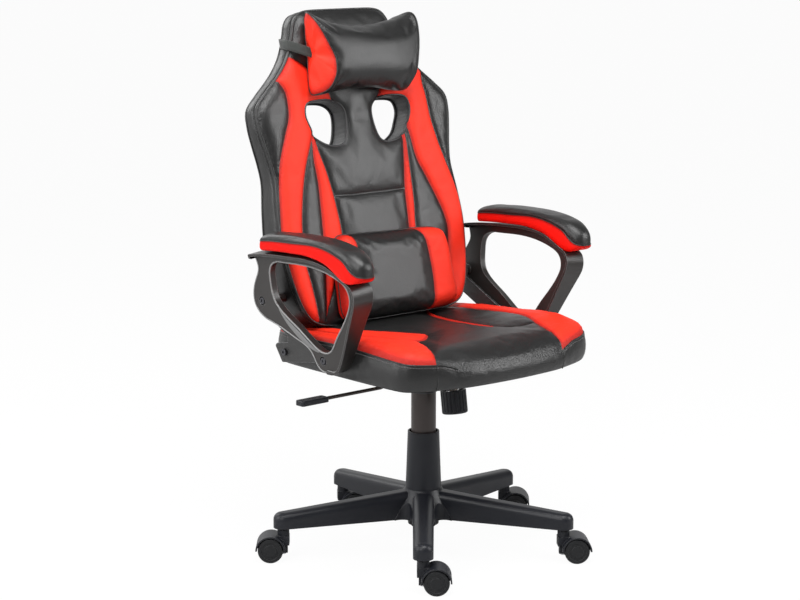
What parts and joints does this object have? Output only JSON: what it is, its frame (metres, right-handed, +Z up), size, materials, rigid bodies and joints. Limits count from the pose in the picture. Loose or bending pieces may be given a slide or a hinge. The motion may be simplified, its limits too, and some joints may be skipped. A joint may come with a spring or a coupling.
{
  "type": "gaming chair",
  "caption": "High-backed swivel gaming chair with shoulder openings, head and lumbar cushions, looped arms, gas lift, tilt lever and a star base on twin-wheel castors.",
  "frame": {"origin": "on the floor, on the axis of the gas lift", "axes": "+Z up; the chair faces -Y; the sitter's right side is at -X"},
  "size_m": [0.6694, 0.6227, 1.0732],
  "materials": {
    "nylon_black": "moulded glass-filled nylon, satin",
    "wheel_black": "moulded nylon, matt",
    "steel_dark": "dark satin powder coat",
    "steel_textured": "textured black powder coat",
    "steel_bright": "drawn and ground",
    "cylinder_bright": "polished hard chrome",
    "zinc_screws": "black zinc",
    "bush_plastic": "moulded acetal",
    "arm_plastic": "moulded, fine texture",
    "liner_plastic": "gloss moulding",
    "ply": "bare birch plywood",
    "foam_black": "moulded foam under black leatherette",
    "foam_red": "padding under red leatherette",
    "cover_black": "grained leatherette",
    "elastic": "woven elastic"
  },
  "bodies": {
    "base": {"star_base": "nylon_black", "castor_stems": "steel_bright", "stand_tube": "steel_dark", "column_cover": "nylon_black", "guide_bush": "bush_plastic"},
    "castor_1": {"castor_hood_1": "nylon_black", "castor_axle_1": "steel_bright"},
    "wheel_left_1": {"castor_wheel_left_1": "wheel_black"},
    "wheel_right_1": {"castor_wheel_right_1": "wheel_black"},
    "castor_2": {"castor_hood_2": "nylon_black", "castor_axle_2": "steel_bright"},
    "wheel_left_2": {"castor_wheel_left_2": "wheel_black"},
    "wheel_right_2": {"castor_wheel_right_2": "wheel_black"},
    "castor_3": {"castor_hood_3": "nylon_black", "castor_axle_3": "steel_bright"},
    "wheel_left_3": {"castor_wheel_left_3": "wheel_black"},
    "wheel_right_3": {"castor_wheel_right_3": "wheel_black"},
    "castor_4": {"castor_hood_4": "nylon_black", "castor_axle_4": "steel_bright"},
    "wheel_left_4": {"castor_wheel_left_4": "wheel_black"},
    "wheel_right_4": {"castor_wheel_right_4": "wheel_black"},
    "castor_5": {"castor_hood_5": "nylon_black", "castor_axle_5": "steel_bright"},
    "wheel_left_5": {"castor_wheel_left_5": "wheel_black"},
    "wheel_right_5": {"castor_wheel_right_5": "wheel_black"},
    "piston": {"piston_rod": "steel_bright", "rod_clip": "steel_bright", "thrust_bearing": "steel_bright"},
    "mechanism": {"gas_cylinder": "cylinder_bright", "tilt_housing": "steel_dark", "tension_spring": "steel_bright"},
    "seat": {"seat_plate": "steel_dark", "tilt_pin": "steel_bright", "mount_screws": "zinc_screws", "tension_bolt": "steel_bright", "seat_board": "ply", "seat_cushion": "foam_black", "seat_rails": "steel_dark", "back_frame": "steel_dark", "back_cushion": "foam_black", "back_cover": "cover_black", "eye_liner_left": "liner_plastic", "eye_liner_right": "liner_plastic", "lumbar_cushion": "foam_black", "arm_frame_left": "arm_plastic", "arm_frame_right": "arm_plastic", "arm_pad_left": "foam_black", "arm_pad_right": "foam_black", "back_bracket_left": "steel_textured", "back_bracket_right": "steel_textured", "arm_bolts": "zinc_screws"},
    "lever_guide": {"lever_bush": "bush_plastic"},
    "lever": {"lever_rod": "steel_dark", "lever_paddle": "nylon_black"},
    "valve": {"valve_pin": "steel_bright"},
    "tension_nut": {"tension_washer": "steel_bright"},
    "knob": {"tension_knob": "nylon_black"},
    "head_rest": {"head_pillow": "foam_black", "head_strap": "elastic"}
  },
  "joints": [
    {"name": "castor_swivel_1", "type": "hinge", "parent": "base", "child": "castor_1", "pos_m": [-0.19539, -0.217, 0.064], "axis": [0, 0, 1], "continuous": true},
    {"name": "wheel_left_spin_1", "type": "hinge", "parent": "castor_1", "child": "wheel_left_1", "pos_m": [-0.17652, -0.2334, 0.025], "axis": [0.6561, 0.7547, 0], "continuous": true},
    {"name": "wheel_right_spin_1", "type": "hinge", "parent": "castor_1", "child": "wheel_right_1", "pos_m": [-0.17652, -0.2334, 0.025], "axis": [0.6561, 0.7547, 0], "continuous": true},
    {"name": "castor_swivel_2", "type": "hinge", "parent": "base", "child": "castor_2", "pos_m": [0.146, -0.25288, 0.064], "axis": [0, 0, 1], "continuous": true},
    {"name": "wheel_left_spin_2", "type": "hinge", "parent": "castor_2", "child": "wheel_left_2", "pos_m": [0.1657, -0.26827, 0.025], "axis": [0.6157, 0.788, 0], "continuous": true},
    {"name": "wheel_right_spin_2", "type": "hinge", "parent": "castor_2", "child": "wheel_right_2", "pos_m": [0.1657, -0.26827, 0.025], "axis": [0.6157, 0.788, 0], "continuous": true},
    {"name": "castor_swivel_3", "type": "hinge", "parent": "base", "child": "castor_3", "pos_m": [0.28562, 0.06071, 0.064], "axis": [0, 0, 1], "continuous": true},
    {"name": "wheel_left_spin_3", "type": "hinge", "parent": "castor_3", "child": "wheel_left_3", "pos_m": [0.3036, 0.04334, 0.025], "axis": [0.6947, 0.7193, 0], "continuous": true},
    {"name": "wheel_right_spin_3", "type": "hinge", "parent": "castor_3", "child": "wheel_right_3", "pos_m": [0.3036, 0.04334, 0.025], "axis": [0.6947, 0.7193, 0], "continuous": true},
    {"name": "castor_swivel_4", "type": "hinge", "parent": "base", "child": "castor_4", "pos_m": [0.03052, 0.2904, 0.064], "axis": [0, 0, 1], "continuous": true},
    {"name": "wheel_left_spin_4", "type": "hinge", "parent": "castor_4", "child": "wheel_left_4", "pos_m": [0.05075, 0.27571, 0.025], "axis": [0.5878, 0.809, 0], "continuous": true},
    {"name": "wheel_right_spin_4", "type": "hinge", "parent": "castor_4", "child": "wheel_right_4", "pos_m": [0.05075, 0.27571, 0.025], "axis": [0.5878, 0.809, 0], "continuous": true},
    {"name": "castor_swivel_5", "type": "hinge", "parent": "base", "child": "castor_5", "pos_m": [-0.26676, 0.11877, 0.064], "axis": [0, 0, 1], "continuous": true},
    {"name": "wheel_left_spin_5", "type": "hinge", "parent": "castor_5", "child": "wheel_left_5", "pos_m": [-0.28562, 0.13517, 0.025], "axis": [-0.6561, -0.7547, 0], "continuous": true},
    {"name": "wheel_right_spin_5", "type": "hinge", "parent": "castor_5", "child": "wheel_right_5", "pos_m": [-0.28562, 0.13517, 0.025], "axis": [-0.6561, -0.7547, 0], "continuous": true},
    {"name": "column_spin", "type": "hinge", "parent": "base", "child": "piston", "pos_m": [0, 0, 0.0504], "axis": [0, 0, 1], "continuous": true},
    {"name": "seat_lift", "type": "slide", "parent": "piston", "child": "mechanism", "axis": [0, 0, 1], "range_m": [0, 0.1]},
    {"name": "seat_tilt", "type": "hinge", "parent": "mechanism", "child": "seat", "pos_m": [0, -0.03, 0.377], "axis": [-1, 0, 0], "range_deg": [0, 12], "stiffness_Nm_per_rad": 150, "springref_deg": -11.46, "deforming": ["tension_spring"]},
    {"name": "lever_lift", "type": "hinge", "parent": "mechanism", "child": "lever_guide", "pos_m": [-0.03675, 0, 0.3691], "axis": [0, 1, 0], "range_deg": [0, 5], "stiffness_Nm_per_rad": 3, "springref_deg": -6.88},
    {"name": "lever_pull", "type": "slide", "parent": "lever_guide", "child": "lever", "axis": [-1, 0, 0], "range_m": [0, 0.012]},
    {"name": "valve_press", "type": "slide", "parent": "mechanism", "child": "valve", "axis": [0, 0, -1], "range_m": [0, 0.004]},
    {"name": "knob_travel", "type": "slide", "parent": "seat", "child": "tension_nut", "axis": [0, 0.1392, 0.9903], "range_m": [-0.004, 0.004], "deforming": ["tension_spring"]},
    {"name": "knob_turn", "type": "hinge", "parent": "tension_nut", "child": "knob", "pos_m": [0, -0.09308, 0.29591], "axis": [0, 0.1392, 0.9903], "range_deg": [-720, 720]},
    {"name": "pillow_slide", "type": "slide", "parent": "seat", "child": "head_rest", "axis": [0, 0.2504, 0.9681], "range_m": [0, 0.03]}
  ],
  "couplings": [
    {"joint": "valve_press", "follows": "lever_lift", "m_per_rad": 0.045},
    {"joint": "knob_travel", "follows": "knob_turn", "m_per_rad": 0.00031831}
  ]
}
